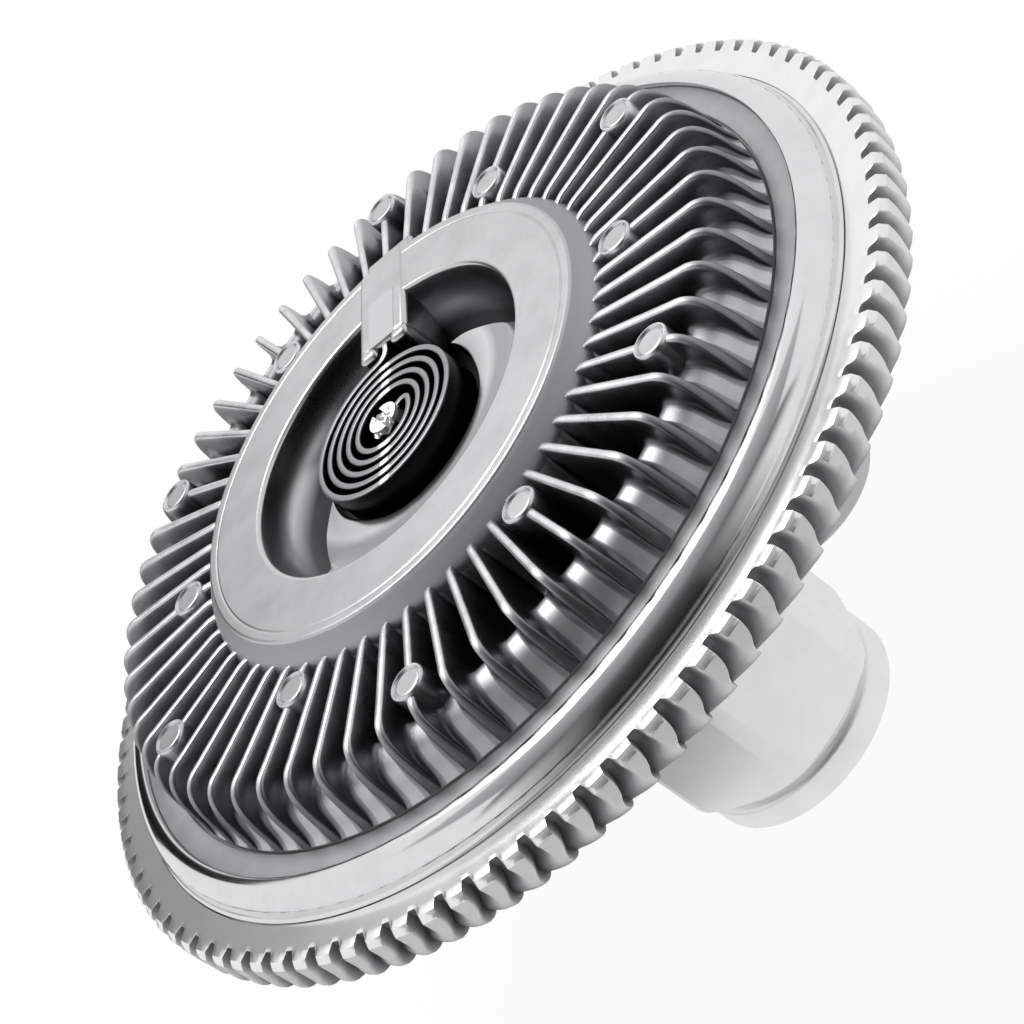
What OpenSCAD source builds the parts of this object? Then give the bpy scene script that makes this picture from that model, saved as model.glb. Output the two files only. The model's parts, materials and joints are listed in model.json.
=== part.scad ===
// Viscous fan clutch with a bimetal coil.
// Z is the shaft axis and the finned front faces up. The origin is the centre of the hub's rear end face.
// Lengths are in millimetres, angles in degrees.

/* [Rim] */
// Outer diameter of the toothed rim
rim_d = 210; // [206:1:230]
// Axial width of the rim
rim_w = 10.5; // [8:0.5:12]
// Rounding of the rim's rear outer corner
rim_corner = 4; // [2:0.5:6]
// Number of slots around the rim
slot_count = 95; // [60:1:100]
// Radial depth of the slots
slot_depth = 3.2; // [2:0.1:4]
// Width of a slot at the front face
slot_w_front = 2.8; // [1.5:0.1:3]
// Width of a slot at the rear, where it flares for casting draft
slot_w_rear = 5.4; // [3:0.1:5.6]
// Wall of the lip that is rolled over the cover's flange
lip_t = 2.9; // [2:0.1:3.5]

/* [Cover] */
// Outer diameter of the cover's flange
cover_d = 184; // [181:1:186]
// Thickness of the flange
flange_t = 4.6; // [4:0.1:6]
// Diameter over the outer ends of the fins
drum_d = 167.2; // [160:0.2:172]
// Number of fins
fin_count = 60; // [36:12:60]
// Height of the fins above the flange
fin_h = 15.1; // [13:0.1:16]
// Thickness of a fin at its top
fin_top_t = 1.7; // [1.2:0.1:2]
// Draft of each side of a fin
fin_draft = 4; // [2:0.5:4.5]
// Rounding of a fin's outer top corner
fin_corner = 4.6; // [2:0.1:7]
// Height of the ring ridge between the fins
ridge_h = 8.5; // [5:0.1:11]
// Diameter of the ejector bosses on the fins
pin_d = 7.6; // [5:0.1:8.4]
// Height of the ejector bosses above the fin tops
pin_proud = 0.5; // [0.2:0.1:1]
// Circle diameter of the outer ejector bosses
pin_outer_pcd = 146; // [136:1:150]
// Circle diameter of the inner ejector bosses
pin_inner_pcd = 117.4; // [112:0.2:124]
// Diameter of the raised boss's flat face
boss_d = 98; // [94:0.5:102]
// Height of the raised boss above the flange
boss_h = 18; // [17:0.1:20]
// Diameter of the coil recess at its mouth
recess_d = 71.4; // [70:0.2:76]
// Depth of the coil recess
recess_depth = 13.1; // [12:0.1:13.6]
// Depth of the raised shelf inside the recess
shelf_depth = 4.2; // [3:0.1:7]
// Width of the lug that anchors the coil
lug_w = 12.8; // [11:0.1:15]

/* [Coil] */
// Radius of the coil's outer turn at the middle of the strip
coil_r = 18.6; // [18.2:0.1:19.2]
// Distance between turns
coil_pitch = 2.6; // [2.2:0.05:2.7]
// Number of turns
coil_turns = 5; // [3:0.25:5]
// Thickness of the strip
strip_t = 1.25; // [0.8:0.05:1.4]
// Width of the strip
strip_w = 8; // [6:0.1:8.4]

/* [Valve] */
// Diameter of the valve shaft
shaft_d = 7; // [6:0.1:7.2]
// Length of the valve arm from the shaft's axis
arm_len = 40; // [32:0.5:42]
// Diameter of the feed hole in the divider plate
feed_d = 7; // [4:0.5:9]
// Diameter of the fluid store
store_d = 88; // [86:1:92]

/* [Rotor] */
// Diameter of the rotor
rotor_d = 160; // [150:1:162]
// Thickness of the rotor's disc
disc_t = 4.5; // [3.5:0.1:6]
// Height of the ring lands
land_h = 4; // [3:0.1:5]
// Thickness of a ring land
land_t = 1.6; // [1:0.1:1.8]
// Gap between a land's tip and the face across it
tip_gap = 1; // [0.6:0.1:1.5]

/* [Bearing] */
// Bore of the bearing
bearing_bore = 30; // [28:0.5:32]
// Outer diameter of the bearing
bearing_d = 62; // [60:0.5:66]
// Width of the bearing
bearing_w = 24; // [23.6:0.1:28]
// Diameter of the balls
ball_d = 8; // [7:0.1:8.2]
// Number of balls in each of the two rows
ball_count = 12; // [8:1:13]

/* [Hub] */
// Hexagon size across flats
hex_af = 48.5; // [46:0.5:52]
// Diameter that the hexagon's corners are turned to
hex_corner_d = 53.8; // [53:0.1:56]
// Length of the hexagon
hex_h = 37; // [34:0.5:42]
// Diameter of the round collar at the rear end
collar_d = 49.6; // [46:0.1:52]
// Length of the collar
collar_h = 8; // [6:0.5:10]
// Minor diameter of the hub's thread
thread_minor_d = 34.38; // [28:0.01:36]
// Depth of the thread
thread_len = 36; // [24:1:40]

/* [Fan pads] */
// Circle diameter of the fan's screws
pad_pcd = 175; // [174:1:178]
// Width of a pad, round at its outer end
pad_d = 30; // [26:0.5:31]
// Height of a pad behind the rear wall
pad_h = 1.5; // [1:0.5:3]
// Tapping diameter of the fan's screws
screw_d = 6.8; // [5:0.1:8.5]
// Depth of the fan's screw holes
screw_len = 13; // [10:1:13]

/* [Hidden] */
// Names of the sub-parts

// Fineness of round shapes
$fn = 96;

// Clearances
run_gap = 0.05;      // radial clearance of a shaft that turns in a bore
free_gap = 0.35;     // clearance between pieces that move past each other
ball_gap = 0.1;      // clearance of a ball in its race
over = 1;            // how far a cut runs past a face

// Radii that follow from the driving diameters
rim_r = rim_d / 2;
cover_r = cover_d / 2;
drum_r = drum_d / 2;
boss_r = boss_d / 2;
recess_r = recess_d / 2;
rotor_r = rotor_d / 2;
store_r = store_d / 2;
shaft_r = shaft_d / 2;
chamber_r = rotor_r + 2;

// Heights from the hub's rear end upwards
neck_h = 1;
hex_z0 = collar_h + neck_h;
hex_z1 = hex_z0 + hex_h;
shoulder_h = 10;
bearing_z0 = hex_z1 + shoulder_h;
bearing_z1 = bearing_z0 + bearing_w;
bearing_stop_t = 3;
chamber_z = bearing_z1 + bearing_stop_t;
disc_z0 = chamber_z + land_h + tip_gap;
disc_z1 = disc_z0 + disc_t;
under_z = disc_z1 + land_h + tip_gap;
seat_step = 0.5;
face_z = under_z - seat_step;
rim_z0 = face_z - rim_w;
flange_z = under_z + flange_t;
fin_z = flange_z + fin_h;
boss_z = flange_z + boss_h;
recess_z = boss_z - recess_depth;

// Rolled lip: a quarter round from the groove in the rim's face to the flange
lip_r = cover_r + lip_t;
lip_round = lip_r - cover_r + 2.3;
lip_edge_r = lip_r - lip_round;
lip_edge_t = 1.1;
lip_foot_z = face_z + 1;
lip_rise = flange_z + lip_edge_t - lip_foot_z;
lip_chamfer = 2.1;
groove_w = 0.7;
groove_depth = 0.8;

// Rear wall, bearing boss and ribs of the housing
wall_t = 3.5;
wall_z = chamber_z - wall_t;
boss_wall = 7;
bearing_boss_r = bearing_d / 2 + boss_wall;
ring_t = 1.6;
ring_lap = 2;
bearing_boss_z = bearing_z0 - ring_t - 1.4;
rib_count = 24;
rib_t = 3;
boss_fillet = 8;
pad_count = 4;
pad_angle = 113.6;
pad_z = wall_z - pad_h;
pad_r = pad_pcd / 2 - 9;
rib_z = wall_z - pad_h * 0.6;

// Slots start this many slot spacings from the X axis
slot_phase = 0.685;

// Seal between cover and housing
seal_t = 2.6;
seal_r = (chamber_r + cover_r) / 2;
seal_side = 0.2;

// Inside of the cover
cover_wall = 4.5;
store_z = recess_z - cover_wall;
guide_r = 9;
guide_z = under_z + 3.1;
plate_t = 1.2;
plate_rim = 6;
plate_r = store_r + plate_rim;
rivet_count = 6;
rivet_r = 1.5;
rivet_head_r = 2.6;
rivet_head_h = 1.1;
rivet_len = 4;
rivet_circle_r = store_r + plate_rim / 2;
land_count = 4;
land_pitch = 5;
land_first_r = rotor_r - 7;

// Recess, coil and lug
lug_angle = 238;
lug_inner_r = coil_r + 2.7;
lug_outer_r = boss_r + 6.5;
lug_proud = 0.25;
lug_wall = 2.3;
lug_pocket_r = recess_r + 2.1;
insert_w = lug_w - 6;
insert_drop = 1;
coil_drop = 0.5;
coil_z1 = boss_z - coil_drop;
coil_z0 = coil_z1 - strip_w;
coil_end_angle = lug_angle + 7.5;
coil_bend_r = 3;
coil_tail = 9;
coil_points = 30;
shelf_inner_r = coil_r + 1.9;
shelf_ends = [[343, 28], [189, 148]];
shelf_z = boss_z - shelf_depth;

// Inner end of the coil: a bend that turns the strip to the shaft's axis
inner_r = coil_r - coil_pitch * coil_turns;
inner_bend_r = 1.6;
inner_angle = coil_end_angle + 360 * coil_turns;
inner_turn = asin(inner_bend_r / (inner_r - inner_bend_r));
slit_angle = inner_angle + inner_turn;
slit_w = strip_t + 2 * free_gap;

// Valve shaft stations
arm_z0 = under_z + 0.7;
arm_t = 0.8;
arm_w = 10;
arm_hole_r = shaft_r - 1;
clip_t = 0.8;
clip_z0 = guide_z - free_gap - clip_t;
clip_r = shaft_r + 2.4;
shaft_top_z = coil_z1 + 0.6;
shaft_guide_z = recess_z + 2.5;
oring_t = 1.4;
oring_z = (guide_z + shaft_guide_z) / 2;
oring_floor_r = shaft_r - oring_t - 0.04;
feed_r = arm_len - 5;

// Bearing
ball_r = ball_d / 2;
pitch_r = (bearing_bore + bearing_d) / 4;
race_gap = ball_r * 0.7;
row_offset = 5.3;
bearing_mid_z = (bearing_z0 + bearing_z1) / 2;
cage_half_w = ball_r + 0.8;
cage_half_t = 1.4;
cage_gap = 0.15;
bearing_seal_t = 1.1;
bearing_seal_inset = 0.3;
bearing_seal_r = pitch_r + ball_r;

// Hub shaft
shoulder_r = bearing_bore / 2 + 4;
rotor_seat_r = bearing_bore / 2 - 2;
rotor_hub_r = rotor_seat_r + 7;
shaft_end_z = disc_z1 + 1;
neck_r = collar_d / 2 - 1.4;
collar_round = 1.5;
hex_chamfer = 30;

// Points on an arc about (cx, cz)
function arc(cx, cz, r, a0, a1, n = 6) =
    [for (i = [0:n]) let (a = a0 + (a1 - a0) * i / n) [cx + r * cos(a), cz + r * sin(a)]];

// A unit vector at an angle
function dir(a) = [cos(a), sin(a)];

// Body of revolution from a section in (radius, height)
module turned(section) {
    rotate_extrude() polygon(section);
}

// Ring with a rectangular section
module ring(r0, r1, z0, z1) {
    turned([[r0, z0], [r1, z0], [r1, z1], [r0, z1]]);
}

// Copies around the axis
module around(count, start = 0) {
    for (k = [0:count - 1])
        rotate([0, 0, start + k * 360 / count]) children();
}

// Flat outline in (radius, height) made into a plate of thickness t that stands along a radius
module radial_plate(outline, t) {
    rotate([90, 0, 0])
        linear_extrude(height = t, center = true) polygon(outline);
}

// Four ring lands between two heights, from the outermost one inwards
module lands(first_r, z0, z1) {
    for (i = [0:land_count - 1])
        ring(first_r - i * land_pitch - land_t / 2, first_r - i * land_pitch + land_t / 2, z0, z1);
}

// Slot in the rim, wider at the rear, cut inwards from the rim's surface
module rim_slot() {
    front = -(face_z + over);
    rear = -(rim_z0 - over);
    translate([rim_r - slot_depth, 0, 0]) rotate([0, 90, 0])
        linear_extrude(height = slot_depth + over)
            polygon([[front, -slot_w_front / 2], [front, slot_w_front / 2],
                     [rear, slot_w_rear / 2], [rear, -slot_w_rear / 2]]);
}

// Section of the housing from the bearing boss out to the rim and the rolled lip
housing_section = concat(
    [[bearing_d / 2, bearing_boss_z], [bearing_d / 2, bearing_z0 - ring_t],
     [bearing_d / 2 + ring_lap, bearing_z0 - ring_t], [bearing_d / 2 + ring_lap, bearing_z0],
     [bearing_d / 2, bearing_z0], [bearing_d / 2, bearing_z1],
     [bearing_d / 2 - 3.5, bearing_z1], [bearing_d / 2 - 3.5, chamber_z],
     [chamber_r, chamber_z], [chamber_r, under_z],
     [seal_r - seal_t / 2 - seal_side, under_z], [seal_r - seal_t / 2 - seal_side, under_z - seal_t],
     [seal_r + seal_t / 2 + seal_side, under_z - seal_t], [seal_r + seal_t / 2 + seal_side, under_z],
     [cover_r, under_z], [cover_r, flange_z - lip_chamfer], [cover_r - lip_chamfer, flange_z],
     [lip_edge_r, flange_z]],
    [for (i = [0:8]) let (a = 90 - 90 * i / 8)
        [lip_edge_r + lip_round * cos(a), lip_foot_z + lip_rise * sin(a)]],
    [[lip_r, face_z - groove_depth], [lip_r + groove_w, face_z - groove_depth],
     [lip_r + groove_w, face_z], [rim_r, face_z]],
    arc(rim_r - rim_corner, rim_z0 + rim_corner, rim_corner, 0, -90),
    [[rim_r - rim_corner - 3, rim_z0], [chamber_r + wall_t + 2, wall_z],
     [bearing_boss_r + boss_fillet, wall_z], [bearing_boss_r, wall_z - boss_fillet],
     [bearing_boss_r, bearing_boss_z]]);

module rear_housing() {
    rib = [[bearing_boss_r - 2, wall_z + over], [bearing_boss_r - 2, wall_z - boss_fillet - 2],
           [bearing_boss_r + boss_fillet, rib_z], [chamber_r - 12, rib_z], [chamber_r - 8, wall_z + over]];
    color("#b9babb") difference() {
        union() {
            turned(housing_section);
            lands(land_first_r + land_pitch / 2, chamber_z - over, chamber_z + land_h);
            around(rib_count, 360 / rib_count / 2) radial_plate(rib, rib_t);
            difference() {
                around(pad_count, pad_angle) translate([pad_r, 0, pad_z])
                    cylinder(d = pad_d, h = rim_z0 - pad_z + over);
                translate([0, 0, chamber_z]) cylinder(r = chamber_r, h = rim_w + wall_t);
            }
        }
        around(slot_count, slot_phase * 360 / slot_count) rim_slot();
        around(pad_count, pad_angle) translate([pad_pcd / 2, 0, pad_z - over])
            cylinder(d = screw_d, h = screw_len + over);
    }
}

// Section of the ridge between the fins: half an ellipse that stands on the flange's level
ridge_mid_r = drum_r - 6.8;
ridge_half_w = 6.5;
function ridge(n = 10) =
    [for (i = [0:n]) let (a = 180 - 180 * i / n)
        [ridge_mid_r + ridge_half_w * cos(a), flange_z + ridge_h * sin(a)]];

// Section of the cover, from the valve shaft's bore out to the flange and back along the inside
recess_round = 10;
mouth_round = 0.8;
cover_section = concat(
    [[shaft_r + run_gap, guide_z], [shaft_r + run_gap, shaft_guide_z], [guide_r - 1.5, shaft_guide_z],
     [guide_r, recess_z]],
    arc(recess_r - mouth_round - recess_round, recess_z + recess_round, recess_round, -90, 0),
    arc(recess_r, boss_z - mouth_round, mouth_round, 180, 90, 3),
    [[boss_r, boss_z], [boss_r + 0.9, boss_z - 0.7], [boss_r + 3.5, fin_z], [boss_r + 8, flange_z + 3],
     [boss_r + 11, flange_z]],
    ridge(),
    [[cover_r - lip_chamfer, flange_z], [cover_r, flange_z - lip_chamfer], [cover_r, under_z],
     [store_r, under_z], [store_r, store_z], [guide_r, store_z], [guide_r, guide_z]]);

// Outline of a fin's side in (radius, height), with the rounded outer corner
fin_foot_z = flange_z - 2;
fin_outline = concat(
    [[boss_r - 2, fin_foot_z], [drum_r, fin_foot_z], [drum_r, flange_z]],
    arc(drum_r - 0.5 - fin_corner, fin_z - fin_corner, fin_corner, 0, 90),
    [[boss_r - 2, fin_z]]);

// Fin with drafted sides, as a prism along the X axis
module fin_prism() {
    foot_t = fin_top_t + 2 * (fin_z - fin_foot_z) * tan(fin_draft);
    translate([boss_r - 2, 0, 0]) rotate([90, 0, 90])
        linear_extrude(height = drum_r - boss_r + 2)
            polygon([[-foot_t / 2, fin_foot_z], [foot_t / 2, fin_foot_z],
                     [fin_top_t / 2, fin_z], [-fin_top_t / 2, fin_z]]);
}

// Ejector bosses stand on every fifth fin, alternately on the outer and the inner circle
pin_step = 60;
module ejector_pins(pcd, start) {
    around(360 / pin_step, start) translate([pcd / 2, 0, fin_foot_z])
        cylinder(d = pin_d, h = fin_z + pin_proud - fin_foot_z);
}

// Bar across the boss that carries the coil's outer end
module lug_block(r0, r1, w, z0, z1) {
    rotate([0, 0, lug_angle]) translate([r0, -w / 2, z0]) cube([r1 - r0, w, z1 - z0]);
}

// Raised shelf in the recess: a sector between two slanting ends
module shelf() {
    wall_r = recess_r + over;
    ends_a = shelf_ends[0];
    ends_b = shelf_ends[1];
    steps = 12;
    inner = [for (i = [0:steps]) shelf_inner_r * dir(ends_a[0] + (ends_b[0] + 360 - ends_a[0]) * i / steps)];
    outer = [for (i = [steps:-1:0]) wall_r * dir(ends_a[1] + (ends_b[1] - ends_a[1]) * i / steps)];
    translate([0, 0, recess_z - over])
        linear_extrude(height = shelf_z - recess_z + over) polygon(concat(inner, outer));
}

module front_cover() {
    color("#c4c5c6") difference() {
        union() {
            turned(cover_section);
            intersection() {
                turned(fin_outline);
                around(fin_count) fin_prism();
            }
            ejector_pins(pin_outer_pcd, 0);
            ejector_pins(pin_inner_pcd, pin_step / 2);
            lands(land_first_r + land_pitch / 2, under_z - land_h, under_z + over);
            lug_block(lug_inner_r, boss_r, lug_w, recess_z - over, boss_z + lug_proud);
            lug_block(boss_r - over, lug_outer_r, lug_w, flange_z, fin_z + over);
            shelf();
        }
        lug_block(lug_inner_r + lug_wall, lug_pocket_r, insert_w, coil_z0 - insert_drop, boss_z + over);
        lug_block(lug_inner_r - over, lug_inner_r + lug_wall + over, insert_w - 3,
                  coil_z0 - free_gap, boss_z + over);
        around(rivet_count) translate([rivet_circle_r, 0, under_z - over])
            cylinder(r = rivet_r, h = rivet_len + over);
    }
}

// Middle line of the coil's strip, from the tail in the lug to the slit in the shaft
function coil_path() = let (
    e = dir(coil_end_angle),
    back = dir(coil_end_angle - 90),
    bend = coil_r * e + coil_bend_r * e,
    last = inner_r * dir(inner_angle),
    turn_mid = (inner_r - inner_bend_r) * dir(inner_angle))
    concat(
        [bend + coil_bend_r * back + coil_tail * e],
        [for (i = [0:5]) let (a = 90 - 18 * i) bend + coil_bend_r * (back * sin(a) - e * cos(a))],
        [for (i = [0:coil_points * coil_turns]) let (a = 360 * i / coil_points)
            (coil_r - coil_pitch * a / 360) * dir(coil_end_angle + a)],
        [for (i = [1:6]) turn_mid + inner_bend_r * dir(inner_angle + (90 + inner_turn) * i / 6)],
        [-(shaft_r - 1) * dir(slit_angle)]);

// Outline of a strip of thickness t along a path
function side(path, i, s) = let (
    a = path[max(i - 1, 0)],
    b = path[min(i + 1, len(path) - 1)],
    d = (b - a) / norm(b - a))
    path[i] + s * [-d[1], d[0]];
function strip(path, t) = concat(
    [for (i = [0:len(path) - 1]) side(path, i, t / 2)],
    [for (i = [len(path) - 1:-1:0]) side(path, i, -t / 2)]);

// The bend's last point and the coil's first point are one place, so the path skips one of them
function no_doubles(path) = [for (i = [0:len(path) - 1])
    if (i == 0 || norm(path[i] - path[i - 1]) > 0.01) path[i]];

module bimetal_coil() {
    color("#8d8f92") translate([0, 0, coil_z0])
        linear_extrude(height = strip_w) polygon(strip(no_doubles(coil_path()), strip_t));
}

module coil_anchor_insert() {
    color("#b3b4b5") difference() {
        lug_block(lug_inner_r + lug_wall, lug_pocket_r, insert_w, coil_z0 - insert_drop, boss_z + lug_proud);
        bimetal_coil();
    }
}

module valve_shaft() {
    color("#d0d1d2") difference() {
        turned([[0, arm_z0], [arm_hole_r, arm_z0], [arm_hole_r, arm_z0 + arm_t], [shaft_r, arm_z0 + arm_t],
                [shaft_r, clip_z0], [arm_hole_r, clip_z0], [arm_hole_r, clip_z0 + clip_t],
                [shaft_r, clip_z0 + clip_t], [shaft_r, oring_z - oring_t / 2 - 0.1],
                [oring_floor_r, oring_z - oring_t / 2 - 0.1], [oring_floor_r, oring_z + oring_t / 2 + 0.1],
                [shaft_r, oring_z + oring_t / 2 + 0.1], [shaft_r, shaft_top_z], [0, shaft_top_z]]);
        rotate([0, 0, slit_angle]) translate([-shaft_r - over, -slit_w / 2, coil_z0 - free_gap])
            cube([2 * (shaft_r + over), slit_w, strip_w + 2 * over]);
    }
}

module valve_arm() {
    tip_r = feed_d / 2 + 1.5;
    color("#9a9c9f") difference() {
        translate([0, 0, arm_z0]) union() {
            cylinder(r = arm_w / 2 + 1, h = arm_t);
            translate([0, -arm_w / 2, 0]) cube([feed_r, arm_w, arm_t]);
            translate([feed_r, 0, 0]) cylinder(r = tip_r, h = arm_t);
        }
        translate([0, 0, arm_z0 - over]) cylinder(r = arm_hole_r, h = arm_t + 2 * over);
    }
}

module valve_shaft_seal() {
    color("#26272a") translate([0, 0, oring_z])
        rotate_extrude() translate([shaft_r - oring_t / 2 - 0.02, 0])
            circle(r = oring_t / 2 - 0.02, $fn = 32);
}

module valve_shaft_clip() {
    clip_mouth = 70;
    color("#7d7f82") rotate([0, 0, clip_mouth / 2]) rotate_extrude(angle = 360 - clip_mouth)
        translate([arm_hole_r, clip_z0]) square([clip_r - arm_hole_r, clip_t]);
}

module divider_plate() {
    color("#a4a6a9") difference() {
        translate([0, 0, under_z - plate_t]) cylinder(r = plate_r, h = plate_t);
        around(rivet_count) translate([rivet_circle_r, 0, under_z - plate_t - over])
            cylinder(r = rivet_r, h = plate_t + 2 * over);
        translate([feed_r, 0, under_z - plate_t - over]) cylinder(d = feed_d, h = plate_t + 2 * over);
    }
}

module plate_rivets() {
    color("#8a8c90") around(rivet_count) translate([rivet_circle_r, 0, under_z - plate_t])
        union() {
            cylinder(r = rivet_r, h = plate_t + rivet_len);
            translate([0, 0, -rivet_head_h]) cylinder(r = rivet_head_r, h = rivet_head_h);
        }
}

module wiper_block() {
    wiper_span = 24;
    color("#6f7174") rotate([0, 0, 60]) rotate_extrude(angle = wiper_span)
        translate([rotor_r - 3, disc_z1 + tip_gap])
            square([chamber_r - 1 - rotor_r + 3, under_z - disc_z1 - tip_gap]);
}

module cover_seal() {
    color("#26272a") translate([0, 0, under_z - seal_t / 2])
        rotate_extrude() translate([seal_r, 0]) circle(d = seal_t - 0.04, $fn = 32);
}

module clutch_rotor() {
    bleed_count = 4;
    bleed_r = 4;
    color("#b4b6b8") difference() {
        union() {
            ring(rotor_seat_r, rotor_hub_r, bearing_z1, disc_z1);
            ring(rotor_hub_r - over, rotor_r, disc_z0, disc_z1);
            lands(land_first_r, disc_z0 - land_h, disc_z0 + over);
            lands(land_first_r, disc_z1 - over, disc_z1 + land_h);
        }
        around(bleed_count) translate([rotor_hub_r + 20, 0, disc_z0 - over])
            cylinder(r = bleed_r, h = disc_t + 2 * over);
    }
}

module drive_hub() {
    hex_r = hex_corner_d / 2;
    chamfer_h = (hex_r - neck_r) * tan(hex_chamfer);
    thread_mouth = 1.2;
    color("#c9c9c7") difference() {
        union() {
            turned(concat(
                [[0, 0], [collar_d / 2 - collar_round, 0]],
                arc(collar_d / 2 - collar_round, collar_round, collar_round, -90, 0, 4),
                [[collar_d / 2, collar_h - 0.8], [neck_r, collar_h], [neck_r, hex_z0 + over],
                 [0, hex_z0 + over]]));
            intersection() {
                rotate([0, 0, 10]) cylinder(r = hex_af / 2 / cos(30), h = hex_z1, $fn = 6);
                turned([[0, hex_z0], [neck_r, hex_z0], [hex_r, hex_z0 + chamfer_h], [hex_r, hex_z1 - 1],
                        [hex_r - 1, hex_z1], [0, hex_z1]]);
            }
            turned([[0, hex_z1 - over], [shoulder_r, hex_z1 - over], [shoulder_r, bearing_z0],
                    [bearing_bore / 2, bearing_z0], [bearing_bore / 2, bearing_z1],
                    [rotor_seat_r, bearing_z1], [rotor_seat_r, shaft_end_z - 1],
                    [rotor_seat_r - 1, shaft_end_z], [0, shaft_end_z]]);
        }
        translate([0, 0, -over]) cylinder(d = thread_minor_d, h = thread_len + over);
        translate([0, 0, thread_len - over / 2])
            cylinder(d1 = thread_minor_d, d2 = thread_minor_d / 2, h = thread_minor_d / 8);
        translate([0, 0, -over])
            cylinder(r1 = thread_minor_d / 2 + thread_mouth + over, r2 = thread_minor_d / 2,
                     h = thread_mouth + over);
    }
}

// Groove of one ball row, or both rows, as a ring of round section
module ball_grooves(r) {
    for (s = [-1, 1])
        translate([0, 0, bearing_mid_z + s * row_offset])
            rotate_extrude() translate([pitch_r, 0]) circle(r = r, $fn = 48);
}

module bearing_outer_race() {
    seal_h = bearing_seal_t + bearing_seal_inset;
    color("#b7babd") difference() {
        ring(pitch_r + race_gap, bearing_d / 2, bearing_z0, bearing_z1);
        ball_grooves(ball_r + ball_gap);
        translate([0, 0, bearing_z0 - over]) cylinder(r = bearing_seal_r, h = seal_h + over);
        translate([0, 0, bearing_z1 - seal_h]) cylinder(r = bearing_seal_r, h = seal_h + over);
    }
}

module bearing_inner_race() {
    color("#b7babd") difference() {
        ring(bearing_bore / 2, pitch_r - race_gap, bearing_z0, bearing_z1);
        ball_grooves(ball_r + ball_gap);
    }
}

// One row of balls with radius r, s is -1 for the rear row and 1 for the front row
module ball_row(r, s) {
    around(ball_count) translate([pitch_r, 0, bearing_mid_z + s * row_offset]) sphere(r = r, $fn = 48);
}

// Cage ring of one row, with a pocket for each ball
module cage(s) {
    mid = bearing_mid_z + s * row_offset;
    difference() {
        ring(pitch_r - cage_half_t, pitch_r + cage_half_t, mid - cage_half_w, mid + cage_half_w);
        ball_row(ball_r + cage_gap, s);
    }
}

module bearing_cage_front() {
    color("#8f7a4e") cage(1);
}

module bearing_cage_rear() {
    color("#8f7a4e") cage(-1);
}

module bearing_balls() {
    color("#cfd2d5") union() {
        ball_row(ball_r, -1);
        ball_row(ball_r, 1);
    }
}

// Sealing washer in the outer race, clear of the inner race
module bearing_seal(z0) {
    ring(pitch_r - race_gap + free_gap, bearing_seal_r, z0, z0 + bearing_seal_t);
}

module bearing_seal_front() {
    color("#3a3b3e") bearing_seal(bearing_z1 - bearing_seal_inset - bearing_seal_t);
}

module bearing_seal_rear() {
    color("#3a3b3e") bearing_seal(bearing_z0 + bearing_seal_inset);
}

module bearing_retaining_ring() {
    ring_mouth = 36;
    color("#707276") rotate([0, 0, ring_mouth / 2]) rotate_extrude(angle = 360 - ring_mouth)
        translate([bearing_d / 2 - ring_lap, bearing_z0 - ring_t]) square([2 * ring_lap, ring_t]);
}

rear_housing();
front_cover();
bimetal_coil();
coil_anchor_insert();
valve_shaft();
valve_arm();
valve_shaft_seal();
valve_shaft_clip();
divider_plate();
plate_rivets();
wiper_block();
cover_seal();
clutch_rotor();
drive_hub();
bearing_outer_race();
bearing_inner_race();
bearing_cage_front();
bearing_cage_rear();
bearing_balls();
bearing_seal_front();
bearing_seal_rear();
bearing_retaining_ring();
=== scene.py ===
# %% [markdown]
# # A viscous fan clutch, dressed for a studio photograph
# The clutch is a die-cast aluminium drum with cooling fins that turns on a steel hub. Its CAD solids are
# exact but sharp-edged. Here the pieces that the eye reads first - fins, rolled lip, toothed rim, recess,
# coil and hub - are worked out again as smooth surfaces with numpy, in the same frame and at the same sizes.
# Lengths below are in millimetres, and the value MM turns them into Blender's metres.

# %% Load the fixed frame
import json
import math
import bpy
import numpy as np
from mathutils import Matrix


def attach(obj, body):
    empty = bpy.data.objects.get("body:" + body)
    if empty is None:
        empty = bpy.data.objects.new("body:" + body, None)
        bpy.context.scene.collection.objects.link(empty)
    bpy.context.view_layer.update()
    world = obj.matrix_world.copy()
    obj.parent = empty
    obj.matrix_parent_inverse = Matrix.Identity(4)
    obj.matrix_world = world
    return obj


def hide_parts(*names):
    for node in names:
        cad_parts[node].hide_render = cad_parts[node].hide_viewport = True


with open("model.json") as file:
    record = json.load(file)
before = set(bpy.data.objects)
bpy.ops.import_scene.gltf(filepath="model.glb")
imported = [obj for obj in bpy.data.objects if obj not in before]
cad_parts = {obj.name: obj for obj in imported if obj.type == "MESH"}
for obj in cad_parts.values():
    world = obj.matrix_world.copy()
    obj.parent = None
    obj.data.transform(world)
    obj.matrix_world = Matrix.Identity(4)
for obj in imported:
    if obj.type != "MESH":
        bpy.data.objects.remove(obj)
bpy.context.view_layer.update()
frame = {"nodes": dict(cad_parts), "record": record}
print("CAD nodes:", len(frame["nodes"]))

# %% [markdown]
# ## From arrays to meshes
# Nearly every piece is a grid: rows run along a profile, columns run around the axis. A grid that closes on
# itself shares its first and last column, so no seam shows. When rows go outwards and columns go round
# counter-clockwise, the faces point away from the metal.

# %% Grids
MM = 0.001


def grid_quads(rows, cols, closed=True):
    """Corner indices of a rows x cols grid: (i, j), (i+1, j), (i+1, j+1), (i, j+1), wrapping j if closed."""
    i = np.arange(rows - 1)[:, None]
    j = np.arange(cols if closed else cols - 1)[None, :]
    k = (j + 1) % cols
    return np.stack([i * cols + j, (i + 1) * cols + j, (i + 1) * cols + k, i * cols + k], -1).reshape(-1, 4)


def repeat_quads(quads, size, count):
    """The same quads for count copies of a grid that has size points."""
    return quads[None] + (np.arange(count) * size)[:, None, None]


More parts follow.
